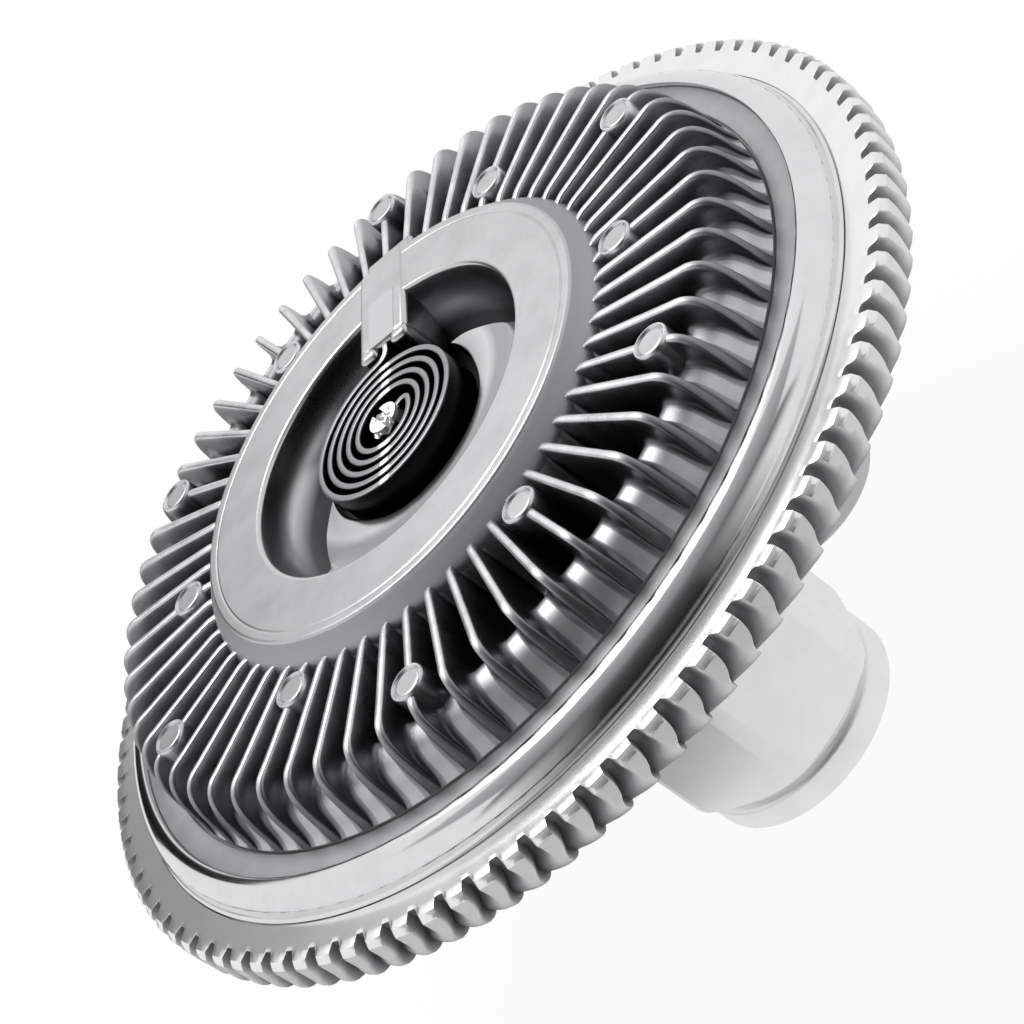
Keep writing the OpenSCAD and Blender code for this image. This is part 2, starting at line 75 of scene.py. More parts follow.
def copies_round(points, turns):
    """One copy of the points for each turn about the axis in radians: (x cos - y sin, x sin + y cos, z)."""
    x, y, z = np.moveaxis(np.asarray(points, float), -1, 0)
    a = np.reshape(turns, (-1,) + (1,) * x.ndim)
    turned = np.broadcast_arrays(x * np.cos(a) - y * np.sin(a), x * np.sin(a) + y * np.cos(a), z)
    return np.stack(turned, -1)


def round_the_axis(radius, angle, height):
    """Points (r cos a, r sin a, z) from arrays of radius, angle in radians and height."""
    radius, angle, height = np.broadcast_arrays(radius, angle, height)
    return np.stack([radius * np.cos(angle), radius * np.sin(angle), height], -1)


def through(points, count):
    """Smooth curve through the rows of points. Each span is the cubic whose end slopes are half the step
    between the neighbours on both sides."""
    points = np.asarray(points, float)
    u = np.linspace(0, len(points) - 1, count)
    i = np.minimum(u.astype(int), len(points) - 2)
    f = (u - i)[:, None]
    a = points[np.maximum(i - 1, 0)]
    b = points[i]
    c = points[i + 1]
    d = points[np.minimum(i + 2, len(points) - 1)]
    return b + 0.5 * f * (c - a + f * (2 * a - 5 * b + 4 * c - d + f * (3 * (b - c) + d - a)))


def arc(mid, radius, start, end, count):
    """Points on a circle about mid, from one angle to another in degrees."""
    a = np.radians(np.linspace(start, end, count))
    return np.stack([mid[0] + radius * np.cos(a), mid[1] + radius * np.sin(a)], -1)


# %% Meshes
def new_piece(name, points, quads, finish, body, slot, crease=40.0, which=None):
    """Mesh from millimetre points and quads. Edges sharper than crease degrees stay sharp, others shade
    smooth. A list of finishes is dealt out to the faces by the numbers in which."""
    points = np.asarray(points, np.float32).reshape(-1, 3) * MM
    quads = np.asarray(quads, np.int32).reshape(-1, 4)
    mesh = bpy.data.meshes.new(name)
    mesh.vertices.add(len(points))
    mesh.vertices.foreach_set("co", points.ravel())
    mesh.loops.add(quads.size)
    mesh.loops.foreach_set("vertex_index", quads.ravel())
    mesh.polygons.add(len(quads))
    mesh.polygons.foreach_set("loop_start", np.arange(0, quads.size, 4, dtype=np.int32))
    mesh.update(calc_edges=True)
    mesh.polygons.foreach_set("use_smooth", np.ones(len(mesh.polygons), bool))
    mesh.set_sharp_from_angle(angle=math.radians(crease))
    for one in finish if isinstance(finish, list) else [finish]:
        mesh.materials.append(one)
    if which is not None:
        mesh.polygons.foreach_set("material_index", np.asarray(which, np.int32).ravel())
    piece = bpy.data.objects.new(name, mesh)
    bpy.context.scene.collection.objects.link(piece)
    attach(piece, body)
    print(f"{name}: {len(mesh.polygons)} faces")
    return piece


def turned_piece(name, profile, finish, body, slot, columns=360, centre=((0.0, 0.0),), crease=40.0,
                 which=None):
    """Body of revolution: each (r, z) of the profile goes once round every centre. A list of finishes is
    dealt out to the bands between profile points by the numbers in which."""
    profile = np.asarray(profile, float)
    angle = np.linspace(0, 2 * np.pi, columns, endpoint=False)
    one = round_the_axis(profile[:, :1], angle[None, :], profile[:, 1:])
    shift = np.concatenate([np.asarray(centre, float), np.zeros((len(centre), 1))], 1)
    points = one.reshape(1, -1, 3) + shift[:, None, :]
    faces = repeat_quads(grid_quads(len(profile), columns), one[..., 0].size, len(centre))
    if which is not None:
        which = np.tile(np.repeat(which, columns), len(centre))
    return new_piece(name, points, faces, finish, body, slot, crease, which)


# %% [markdown]
# ## Finishes
# All the metal is near-grey, so what tells the pieces apart is how each surface was made: a cast skin is
# slightly mottled, a turned face has fine rings, the rolled lip is burnished, the hub is milled and dull.
# Colours are written as sRGB hex values and turned into the linear values that the shader needs. Patterns
# read Object coordinates, so they stay where they are on the metal when a piece moves.

# %% Colour and node helpers
# A Mix node in colour mode has its two colours at inputs 6 and 7, and its result at output 2
MIX_A = 6
MIX_B = 7
MIX_OUT = 2


def linear(hex_colour):
    """sRGB hex to linear RGBA: c/12.92 below 0.04045, else ((c + 0.055)/1.055) to the power 2.4."""
    c = np.array([int(hex_colour[i:i + 2], 16) for i in (1, 3, 5)]) / 255
    c = np.where(c <= 0.04045, c / 12.92, ((c + 0.055) / 1.055) ** 2.4)
    return (*c.tolist(), 1.0)


def node(tree, kind, settings=None, values=None, links=None):
    """Adds a shader node, sets its properties and values, and links sockets to (node, output) pairs."""
    made = tree.nodes.new("ShaderNode" + kind)
    for key, value in (settings or {}).items():
        setattr(made, key, value)
    for key, value in (values or {}).items():
        made.inputs[key].default_value = value
    for key, (source, output) in (links or {}).items():
        tree.links.new(source.outputs[output], made.inputs[key])
    return made


def link(tree, source, output, target, socket):
    """Joins one output to one input."""
    tree.links.new(source.outputs[output], target.inputs[socket])


def ramp(tree, source, output, stops):
    """Colour ramp with (position, hex colour) stops."""
    made = node(tree, "ValToRGB", links={"Fac": (source, output)})
    ends = made.color_ramp.elements
    while len(ends) < len(stops):
        ends.new(0.5)
    for end, (place, colour) in zip(ends, stops):
        end.position = place
        end.color = linear(colour)
    return made


def empty_material(name):
    """Material whose node tree is empty."""
    finish = bpy.data.materials.new(name)
    finish.use_nodes = True
    finish.node_tree.nodes.clear()
    return finish, finish.node_tree


def start(name, metallic, roughness):
    """Material with its shader and an Object coordinate node."""
    finish, tree = empty_material(name)
    place = node(tree, "TexCoord")
    shader = node(tree, "BsdfPrincipled", values={"Metallic": metallic, "Roughness": roughness})
    node(tree, "OutputMaterial", links={"Surface": (shader, "BSDF")})
    return finish, tree, place, shader


def height_share(tree, place, low, high):
    """0 at the height low and 1 at the height high, both in mm."""
    split = node(tree, "SeparateXYZ", links={"Vector": (place, "Object")})
    return node(tree, "MapRange", values={"From Min": low * MM, "From Max": high * MM},
                links={"Value": (split, "Z")})


def axis_distance(tree, place):
    """Distance from the axis in metres, the length of (x, y, 0)."""
    flat = node(tree, "VectorMath", {"operation": "MULTIPLY"}, {1: (1, 1, 0)},
                {0: (place, "Object")})
    return node(tree, "VectorMath", {"operation": "LENGTH"}, links={0: (flat, "Vector")})


def grain_bump(tree, place, shader, width, strength):
    """Cast grain as bump: noise of the given width in mm, 0.1 mm deep at full strength."""
    grain = node(tree, "TexNoise", values={"Scale": 1 / (width * MM), "Detail": 2.0},
                 links={"Vector": (place, "Object")})
    bump = node(tree, "Bump", values={"Strength": strength, "Distance": 0.1 * MM},
                links={"Height": (grain, "Fac")})
    link(tree, bump, "Normal", shader, "Normal")


# %% [markdown]
# ## Cast aluminium
# The cover leaves its die with a thin bright skin. Shade is painted low between the fins, and the tops and
# the open wall at the fins' outer ends are painted light. A painted picture could say where, but a point's
# height already tells how deep in the gap it lies, so the height drives the painted grey.

# %% Cast aluminium: mottled skin, painted shade in the fin gaps, painted light on the tops
def cast_aluminium():
    """Die-cast skin. Patches about 6 mm wide vary the grey, and 0.7 mm grain gives the bump. Height decides
    the painted shade: none on the fins' tops at 117 mm, where the grey is painted up to white, most on the
    floor at 102 mm. Where the piece has an attribute for its open wall, that share of the skin is painted
    light, and a little rougher."""
    finish, tree, place, shader = start("cast aluminium, as cast", 1.0, 0.3)
    patches = node(tree, "TexNoise", links={"Vector": (place, "Object")},
                   values={"Scale": 1 / (6 * MM), "Detail": 4.0, "Roughness": 0.6})
    rise = height_share(tree, place, 102, 117)
    wall = node(tree, "Attribute", {"attribute_name": "painted_light_wall"})
    painted_light_amount = node(tree, "Math", {"operation": "MAXIMUM"},
                 links={0: (rise, "Result"), 1: (wall, "Fac")})
    skin = ramp(tree, patches, "Fac", [(0.3, "#c2c3c5"), (0.7, "#dbdcdd")])
    # Painted shade deepens towards the floor; the tops and the open wall are painted light, up to white
    painted_shade_ramp = ramp(tree, painted_light_amount, "Value",
                [(0.0, "#5a5a5c"), (0.6, "#8c8c8e"), (0.93, "#c6c6c8"), (1.0, "#ffffff")])
    colour = node(tree, "Mix", {"data_type": "RGBA", "blend_type": "MULTIPLY"}, {"Factor": 1.0},
                  {MIX_A: (skin, "Color"), MIX_B: (painted_shade_ramp, "Color")})
    link(tree, colour, MIX_OUT, shader, "Base Color")
    rough = node(tree, "MapRange", values={"To Min": 0.2, "To Max": 0.4},
                 links={"Value": (patches, "Fac")})
    worn = node(tree, "Math", {"operation": "MULTIPLY_ADD"}, {1: 0.22},
                {0: (wall, "Fac"), 2: (rough, "Result")})
    link(tree, worn, "Value", shader, "Roughness")
    grain_bump(tree, place, shader, 0.7, 0.12)
    return finish


# %% [markdown]
# ## Turned metal
# A lathe leaves a fine spiral that reads as rings. Modelled rings would need far too many faces, so the
# distance from the axis drives a bump, and soft stains keep the flat faces from looking like plastic.

# %% Turned metal: fine rings about the axis
def turned_metal(name, dark, light, roughness, pitch, strength, metallic=1.0):
    """Lathe-turned face. The bump is a sine of the distance from the axis with the tool's feed as its period,
    drawn as coarse as it needs to show, and soft stains about 9 mm wide vary the grey. A dull skin lowers
    metallic."""
    finish, tree, place, shader = start(name, metallic, roughness)
    turns = node(tree, "Math", {"operation": "MULTIPLY"}, {1: 2 * math.pi / (pitch * MM)},
                 {0: (axis_distance(tree, place), "Value")})
    rings = node(tree, "Math", {"operation": "SINE"}, links={0: (turns, "Value")})
    stains = node(tree, "TexNoise", links={"Vector": (place, "Object")},
                  values={"Scale": 1 / (9 * MM), "Detail": 5.0, "Roughness": 0.65})
    skin = ramp(tree, stains, "Fac", [(0.32, dark), (0.6, light)])
    link(tree, skin, "Color", shader, "Base Color")
    bump = node(tree, "Bump", values={"Strength": strength, "Distance": 0.02 * MM},
                links={"Height": (rings, "Value")})
    link(tree, bump, "Normal", shader, "Normal")
    return finish


# %% [markdown]
# ## Other castings
# The teeth carry painted shade at the foot of the slots and are painted paler on their crests, and the recess
# has painted shade towards its floor. Both follow from one distance, so each finish is a single ramp: along
# the distance from the axis for the rim, and along the height for the recess.

# %% Casting whose grey follows the distance from the axis
def ringed_casting(name, near, far, stops, roughness, grain_strength, metallic=1.0):
    """Cast skin. The grey follows the distance from the axis, from near to far in mm. Grain of 0.9 mm gives
    the bump. A dull oxide skin lowers metallic."""
    finish, tree, place, shader = start(name, metallic, roughness)
    rise = node(tree, "MapRange", values={"From Min": near * MM, "From Max": far * MM},
                links={"Value": (axis_distance(tree, place), "Value")})
    skin = ramp(tree, rise, "Result", stops)
    link(tree, skin, "Color", shader, "Base Color")
    grain_bump(tree, place, shader, 0.9, grain_strength)
    return finish


# %% Recess: smooth casting with painted shade towards its floor
def recess_casting():
    """Smooth die-cast bowl. The grey follows the height, from the floor at 107 mm to the mouth at 120 mm,
    with painted shade near the floor.
    """
    finish, tree, place, shader = start("cast aluminium, smooth recess", 1.0, 0.24)
    rise = height_share(tree, place, 107, 120)
    skin = ramp(tree, rise, "Result",
                [(0.02, "#2a2a2c"), (0.2, "#4e4e50"), (0.42, "#c0c1c3"), (1.0, "#c6c7c8")])
    link(tree, skin, "Color", shader, "Base Color")
    return finish


# %% [markdown]
# ## Bimetal strip
# The strip was slit from a sheet, so its edge is bare metal and its two sides are dark. That contrast is what
# draws the spiral. Along one line across the coil the edge carries a painted glint. Both are places on one
# piece, so the height and the distance from that line pick the grey.

# %% Bimetal strip: cut edge with painted glints, black sides
def bimetal_strip():
    """The grey changes from dark to bare metal with height at the strip's edge. Along one line across the
    coil, 57 degrees from X, the edge carries a painted glint, about 1.6 mm to each side, with 3 mm wobbles."""
    finish, tree, place, shader = start("bimetal strip, cut edge", 1.0, 0.36)
    edge = height_share(tree, place, 119.2, 119.45)
    turn = math.radians(57)
    off = node(tree, "VectorMath", {"operation": "DOT_PRODUCT"},
               {1: (math.sin(turn), -math.cos(turn), 0)}, {0: (place, "Object")})
    wobble = node(tree, "TexNoise", values={"Scale": 1 / (3 * MM)},
                  links={"Vector": (place, "Object")})
    shift = node(tree, "Math", {"operation": "MULTIPLY_ADD"}, {1: 3 * MM, 2: -1.5 * MM},
                 {0: (wobble, "Fac")})
    off = node(tree, "Math", {"operation": "ADD"}, links={0: (off, "Value"), 1: (shift, "Value")})
    off = node(tree, "Math", {"operation": "ABSOLUTE"}, links={0: (off, "Value")})
    # Painted glint: near white within about 1.6 mm of that line
    painted_glint = node(tree, "MapRange", values={"From Min": 1.6 * MM, "From Max": 0.9 * MM},
                  links={"Value": (off, "Value")})
    bare_and_painted_light = ramp(tree, painted_glint, "Result", [(0.0, "#8c8e90"), (1.0, "#fafafa")])
    skin = node(tree, "Mix", {"data_type": "RGBA"}, {MIX_A: linear("#151516")},
                {0: (edge, "Result"), MIX_B: (bare_and_painted_light, "Color")})
    link(tree, skin, MIX_OUT, shader, "Base Color")
    return finish


# %% Plain finishes, and the whole set
def plain_finish(name, colour, metallic, roughness):
    """One colour all over, for small and hidden pieces."""
    finish, _, _, shader = start(name, metallic, roughness)
    shader.inputs["Base Color"].default_value = linear(colour)
    return finish


# Fins and ejector bosses: mottled tops painted bright over gaps with painted shade that deepens with depth
skin_cast = cast_aluminium()
# Boss face: satin grey, with faint rings and soft stains
skin_face = turned_metal("turned aluminium, boss face", "#b0b1b2", "#bcbdbe", 0.33, pitch=0.9, strength=0.07)
# Recess: a smooth wall that mirrors the room over a floor dark with painted shade
skin_bowl = recess_casting()
# Shelf in the recess: pale and glossy, with a lighter band of painted highlight next to its inner edge and a
# darker band of painted reflection beyond it
skin_shelf = ringed_casting("cast aluminium, recess shelf", 20, 35,
                            [(0.0, "#b2b3b5"), (0.3, "#d4d5d6"), (0.45, "#a6a7a9"), (0.6, "#a6a7a9"),
                             (1.0, "#c2c3c5")], 0.16, 0.02)
# Flange: flat, dull grey with little shine
skin_flange = turned_metal("turned aluminium, flange", "#939496", "#9d9e9f", 0.5, pitch=1.1, strength=0.04,
                           metallic=0.7)
# Rim face: pale and smooth, so it takes its tone from the floor and the cards
skin_ring = turned_metal("turned aluminium, rim face", "#e6e7e7", "#ecedec", 0.2, pitch=0.8, strength=0.03,
                         metallic=0.75)
# Rolled lip: burnished by the tool, so it shows the studio in sharp bands
skin_lip = turned_metal("rolled aluminium, burnished lip", "#d6d7d8", "#dcddde", 0.12, pitch=1.3,
                        strength=0.03)
# Teeth: dull flanks with painted shade at the foot of the slots, painted paler towards the crests
skin_rim = ringed_casting("cast aluminium, toothed rim", 100, 105,
                          [(0.0, "#7e7f81"), (0.5, "#8c8d8f"), (0.75, "#acadae"), (0.92, "#dedfe0"),
                           (1.0, "#eeefef")], 0.5, 0.08, 0.4)
# Rear: an even, slightly grainy casting
skin_rear = ringed_casting("cast aluminium, rear", 38, 98, [(0.0, "#b4b5b6"), (1.0, "#c0c1c2")], 0.44, 0.1)
# Shoulder of the boss: rougher and darker than the face it surrounds
skin_band = ringed_casting("cast aluminium, boss edge", 49, 53, [(0.0, "#9c9d9f"), (1.0, "#a8a9ab")],
                           0.5, 0.1)
# Coil: thin grey lines on black
skin_strip = bimetal_strip()
# Hub: pale and dull, its cutter marks too fine to show
skin_hub = turned_metal("milled steel, hub", "#e6e6e5", "#ebebea", 0.45, pitch=1.0, strength=0.0)
# End of the valve shaft: small bright facets from the hammer
skin_staked = plain_finish("staked steel", "#97989a", 1.0, 0.3)
# Filler in the lug: flat grey, half matt
skin_filler = plain_finish("set filler", "#b9babb", 0.6, 0.5)
# Seals: matt black
skin_black = plain_finish("moulded rubber", "#1c1c1e", 0.0, 0.6)
# Races and balls: clear, cool reflections
skin_bearing = plain_finish("ground bearing steel", "#c4c6c8", 1.0, 0.25)
# Cages: warm yellow metal
skin_brass = plain_finish("pressed brass", "#b89a5a", 1.0, 0.35)
# Clips, plate and valve arm: darker bright strip
skin_spring = plain_finish("spring steel", "#a5a7aa", 1.0, 0.3)
print("finishes:", len(bpy.data.materials))

# %% [markdown]
# ## The finned drum
# The sixty fins are one casting. Each fin is a thin drafted blade between the boss and a low ridge near the
# flange. Cutting blades out of a solid would leave hard corners, so the whole drum is one closed grid: along
# a row the surface climbs from the gap, up a fillet, along the blade's flank, over its rounded top and down
# again. Two curves steer it: the crest runs along the blade's top and down its outer end, the base runs down
# the boss, over the floor and across the ridge. Each point also keeps how open it lies, for the finish.

# %% Fins
FIN_Z = 117.2
FIN_COUNT = 60
# Half of a blade's thickness at its top, and the slope of its drafted sides
FIN_HALF = 0.85
FIN_DRAFT = math.tan(math.radians(4.2))
# Where the ridge and the blades' rounded outer ends begin, and over what widths they come in
RIDGE_R = 72.0
RIDGE_W = 4.5
END_R = 76.0
END_W = 5.0
# Crest radius and height, then base radius and height, from the boss to the flange
steer = [(52.5, 116.75, 52.5, 116.75), (53.5, 117.0, 53.5, 114.6), (54.8, 117.18, 54.7, 111.4),
         (57.0, 117.2, 56.4, 107.2), (59.5, 117.2, 58.4, 103.8), (62.0, 117.2, 61.0, 102.4),
         (65.5, 117.2, 65.0, 102.1), (69.0, 117.2, 68.8, 102.4), (71.2, 117.2, 70.8, 104.6),
         (72.8, 117.2, 72.0, 107.6), (74.8, 117.2, 73.0, 109.6), (76.8, 117.2, 74.4, 110.8),
         (78.2, 116.9, 76.2, 111.05), (79.6, 116.15, 78.1, 110.65), (80.8, 114.9, 79.7, 109.8),
         (81.7, 113.2, 80.7, 108.6), (82.3, 111.2, 81.4, 107.1), (82.75, 108.9, 81.9, 105.6),
         (83.1, 106.4, 82.4, 104.2), (83.4, 104.2, 83.05, 103.0), (83.62, 102.35, 83.6, 102.3)]
# How open the skin lies beyond the ridge, in 11 columns from the middle of the gap to the blade's top; the
# finish paints this share light
painted_light_share = np.array([1.0, 1.0, 0.8, 0.45, 0.15, 0.05, 0.15, 0.4, 0.6, 0.7, 0.7])


def mirrored(columns):
    """Eleven columns of half a blade, followed by the other half: columns 9 to 1 again."""
    return np.concatenate([columns, columns[..., 9:0:-1]], -1)


def finned_drum():
    """Row s has crest C(s) and base B(s). A column lifts the point from B towards C and moves it sideways by
    the blade's half thickness, which grows with depth below the top by the draft. The last result is each
    point's open share, which fades in across the ridge by 3u^2 - 2u^3 and which the finish paints light."""
    path = through(steer, 64)
    crest = path[:, None, :2]
    base = path[:, None, 2:]
    reach = np.maximum(np.linalg.norm(crest - base, axis=-1, keepdims=True), 1e-4)
    along = (crest - base) / reach
    reach = reach[..., 0]
    slim = FIN_HALF + 0.035 * (FIN_Z - crest[..., 1])
    gap = base[..., 0] * math.radians(180 / FIN_COUNT)
    foot = slim + (crest[..., 1] - base[..., 1]) * FIN_DRAFT
    past = np.clip((base[..., 0] - RIDGE_R) / RIDGE_W, 0, 1)
    past = past ** 2 * (3 - 2 * past)
    fillet = np.minimum(np.minimum(0.9 + 0.9 * past, 0.25 * reach), 0.5 * (gap - foot))
    outer = np.clip((crest[..., 0] - END_R) / END_W, 0, 1)
    crown = np.minimum(0.55 + 0.55 * outer, 0.45 * reach)
    # Columns: three across the gap, two on the fillet, two on the flank, four over the rounded top
    lift = np.concatenate([0 * reach, 0 * reach, 0 * reach, 0.3 * fillet, fillet,
                           fillet + 0.5 * (reach - fillet - crown), reach - crown, reach - 0.5 * crown,
                           reach - 0.22 * crown, reach - 0.06 * crown, reach], 1)
    spot = base + along * lift[..., None]
    blade = slim + (crest[..., 1] - spot[..., 1]) * FIN_DRAFT
    wide = np.concatenate([gap, foot + 0.55 * (gap - foot), foot + fillet, foot + 0.3 * fillet], 1)
    narrow = blade[:, 7:] * np.array([[0.93, 0.76, 0.45, 0.0]])
    side = np.concatenate([wide, blade[:, 4:7], narrow], 1)
    both = np.concatenate([-side, side[:, 9:0:-1]], 1)
    radius = mirrored(spot[..., 0])
    turn = both / radius
    fin = np.arange(FIN_COUNT) * 2 * np.pi / FIN_COUNT
    angle = (fin[None, :, None] + turn[:, None, :]).reshape(len(path), -1)
    radius = np.tile(radius, (1, FIN_COUNT))
    height = np.tile(mirrored(spot[..., 1]), (1, FIN_COUNT))
    bare_and_painted_light = np.tile(past * mirrored(painted_light_share), (1, FIN_COUNT))
    return round_the_axis(radius, angle, height), grid_quads(*radius.shape), bare_and_painted_light


drum_points, drum_quads, drum_painted_light = finned_drum()
drum = new_piece("finned_drum", drum_points, drum_quads, skin_cast, "housing", "cast_aluminium", 60)
# How open each point lies, which the cast finish paints light
painted_light_wall = drum.data.attributes.new("painted_light_wall", "FLOAT", "POINT")
painted_light_wall.data.foreach_set("value", drum_painted_light.astype(np.float32).ravel())
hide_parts("front_cover")

# %% [markdown]
# ## Ejector bosses
# Twelve round pads stand on the fins where the die's pins pushed the casting out. Each has a slightly sunk,
# skimmed top and a thin raised edge. A cylinder would lose that edge, so a short profile is turned instead.

# %% Ejector bosses
PIN_COUNT = 12
PIN_OUTER_R = 73.0
PIN_INNER_R = 58.7
pin_profile = [(0.02, 117.42), (2.5, 117.42), (2.75, 117.42), (2.95, 117.3), (3.15, 117.15), (3.3, 117.45),
               (3.48, 117.68), (3.7, 117.68), (3.86, 117.5), (3.92, 117.1), (4.1, 113.0), (4.4, 106.0)]
pin_bands = [1] * 3 + [0] * 8
pin_turns = np.radians(np.arange(PIN_COUNT) * 360 / PIN_COUNT)
pin_reach = np.where(np.arange(PIN_COUNT) % 2 == 0, PIN_OUTER_R, PIN_INNER_R)
pin_centres = np.stack([pin_reach * np.cos(pin_turns), pin_reach * np.sin(pin_turns)], -1)
turned_piece("ejector_bosses", pin_profile, [skin_cast, skin_face], "housing", "cast_aluminium", 40,
             pin_centres, 40, pin_bands)

# %% [markdown]
# ## The front boss and its recess
# The boss is turned: a flat ring with a fine line near its edge, a sloping shoulder round it, a bowl for the
# coil and a low guide for the valve shaft. Each is a profile carried round the axis, and three profiles keep
# the three finishes apart.

# %% Boss and bowl
BOSS_Z = 120.1
bowl = arc((24.4, 117.8), 10.6, -92, 0, 16)
guide = [(3.56, 108.6), (3.6, 109.4), (3.9, 109.5), (7.1, 109.5), (7.5, 109.3), (8.9, 107.6), (9.6, 107.2),
         (14, 107.2)]
mouth = [(35.02, 119.2), (35.12, 119.6), (35.35, 119.92), (35.75, 120.08), (36.1, BOSS_Z)]
bowl_profile = np.concatenate([guide, bowl, mouth])
turned_piece("coil_recess", bowl_profile, skin_bowl, "housing", "cast_aluminium", 360, crease=60)
boss_profile = [(36.0, BOSS_Z), (36.6, BOSS_Z), (46.8, BOSS_Z), (47.0, BOSS_Z), (47.15, 119.97),
                (47.35, 119.97), (47.5, 120.06), (47.7, 120.06), (48.9, 120.06), (49.3, 120.03),
                (49.55, 119.82), (49.7, 119.62)]
turned_piece("front_boss", boss_profile, skin_face, "housing", "cast_aluminium", 360, crease=60)
edge_profile = [(49.7, 119.62), (49.95, 119.45), (50.7, 118.75), (51.6, 117.9), (52.5, 117.0), (53.2, 116.1),
                (53.5, 115.4), (53.55, 114.4)]
turned_piece("boss_edge", edge_profile, skin_band, "housing", "cast_aluminium", 360, crease=60)

# %% [markdown]
# ## The shelf in the recess
# On one side the bowl is filled by a raised shelf. Two curves meet in a sharp tip at each end: the inner edge
# goes round the coil, the outer edge sweeps out to the bowl's wall and follows it. The top is stretched
# between them, and a skirt falls from each to the floor. The inner edge is a quarter round in five steps, so
# that it catches the light while the top stays flat.

# %% Recess shelf
SHELF_Z = 115.9
SHELF_FOOT = 106.6
# Radius in mm and angle in degrees along each edge
shelf_inner = [(19.1, -15.0), (19.3, 5.0), (19.7, 24.0), (21.0, 42.0), (22.5, 57.0), (23.0, 75.0),
               (23.0, 103.0), (22.5, 121.0), (21.3, 134.0), (20.2, 149.0), (19.6, 168.0), (19.7, 189.6)]
shelf_outer = [(19.1, -15.0), (21.57, -5.4), (24.1, 2.3), (27.4, 12.2), (31.3, 22.7), (35.4, 31.0),
               (35.4, 60.0), (35.4, 90.0), (35.4, 118.0), (35.4, 143.5), (32.4, 151.4), (28.85, 161.8),
               (25.27, 172.4), (22.04, 183.7), (19.7, 189.6)]


def shelf_edge(polar, count):
    """Smooth curve through points of radius and angle, as x and y."""
    curve = through(np.array(polar) * [1, np.pi / 180], count)
    return curve[:, :1] * np.stack([np.cos(curve[:, 1]), np.sin(curve[:, 1])], -1)


def recess_shelf(count=96):
    """Rows: foot of the inner skirt, inner edge, flat top, fillet up to the wall, foot of the outer skirt.
    The edge is a quarter circle, and the fillet rises by the square of the way across."""
    inner = shelf_edge(shelf_inner, count)
    outer = shelf_edge(shelf_outer, count)
    wide = np.linalg.norm(outer - inner, axis=1)
    curl = np.minimum(4.0, 0.5 * wide) * np.clip((np.linalg.norm(outer, axis=1) - 30) / 5, 0, 1)
    share = np.clip(curl / np.maximum(wide, 1e-3), 0.02, 0.5)[:, None]
    soft = np.minimum(1.5, 0.25 * wide)
    step = (outer - inner) / np.maximum(wide, 1e-3)[:, None]
    rows = [(inner, SHELF_FOOT)]
    for a in np.radians(np.linspace(0, 90, 6)):
        rows.append((inner + (soft * (1 - np.cos(a)))[:, None] * step, SHELF_Z - soft * (1 - np.sin(a))))
    rows.append((inner + 0.6 * (1 - share) * (outer - inner), SHELF_Z))
    for f in np.linspace(0, 1, 5):
        rows.append((outer - (1 - f) * share * (outer - inner), SHELF_Z + 0.6 * curl * f * f))
    rows.append((outer, SHELF_FOOT))
    return np.stack([np.concatenate([edge, np.broadcast_to(np.reshape(z, (-1, 1)), (count, 1))], 1)
                     for edge, z in rows])


shelf_points = recess_shelf()
shelf_quads = grid_quads(*shelf_points.shape[:2], closed=False)
new_piece("recess_shelf", shelf_points, shelf_quads, skin_shelf, "housing", "cast_aluminium")

# %% [markdown]
# ## The lug that holds the coil
# A bar crosses the boss and reaches into the recess, where a slot between two prongs takes the coil's tail.
# Boxes with a bevel are enough, because all its faces are flat.

# %% Coil lug
LUG_TURN = math.radians(238)
LUG_HALF = 6.4
LUG_SLOT = 1.9
LUG_Z = 120.28
LUG_FOOT = 107.5


def bars(boxes):
    """Corners of boxes given as (inner r, outer r, low t, high t, low z, high z), at the lug's place."""
    b = np.asarray(boxes, float)
    r = b[:, [0, 1, 1, 0, 0, 1, 1, 0]]
    t = b[:, [2, 2, 3, 3, 2, 2, 3, 3]]
    z = b[:, [4, 4, 4, 4, 5, 5, 5, 5]]
    six = np.array([(0, 3, 2, 1), (4, 5, 6, 7), (0, 1, 5, 4), (1, 2, 6, 5), (2, 3, 7, 6), (3, 0, 4, 7)])
    return copies_round(np.stack([r, t, z], -1), [LUG_TURN]), repeat_quads(six, 8, len(b))


lug_boxes = [(23.4, 49.6, -LUG_HALF, LUG_HALF, LUG_FOOT, LUG_Z),
             (21.3, 24.6, -LUG_HALF, -LUG_SLOT, LUG_FOOT, LUG_Z),
             (21.3, 24.6, LUG_SLOT, LUG_HALF, LUG_FOOT, LUG_Z),
             (48.0, 55.5, -LUG_HALF, LUG_HALF, 104.0, 118.2)]
# The lug's sides and underside take the recess finish, with its painted shade towards the floor
lug_sides = [1, 0, 1, 1, 1, 1] * len(lug_boxes)
lug = new_piece("coil_lug", *bars(lug_boxes), [skin_face, skin_bowl], "housing", "cast_aluminium",
                which=lug_sides)
bevel = lug.modifiers.new("soft edges", "BEVEL")
bevel.width = 1.1 * MM
bevel.segments = 3

# %% [markdown]
# ## The bimetal coil
# A flat strip wound into a spiral. Its outer end bends out into the lug, its inner end bends into the valve
# shaft's slit. A Blender curve could carry the section too, but it would turn it at the bends, so the strip's
# rectangle with softened corners is carried along the path with numpy and stays upright.

# %% Coil
COIL_R = 18.6
COIL_PITCH = 2.6
COIL_TURNS = 4.76
COIL_START = math.radians(245.5)
TAIL_BEND = 3
HOOK_BEND = 1.6
STRIP_T = 1.25
STRIP_LOW = 111.6
STRIP_HIGH = 119.6


def unit(a):
    """Direction (cos a, sin a)."""
    return np.stack([np.cos(a), np.sin(a)], -1)


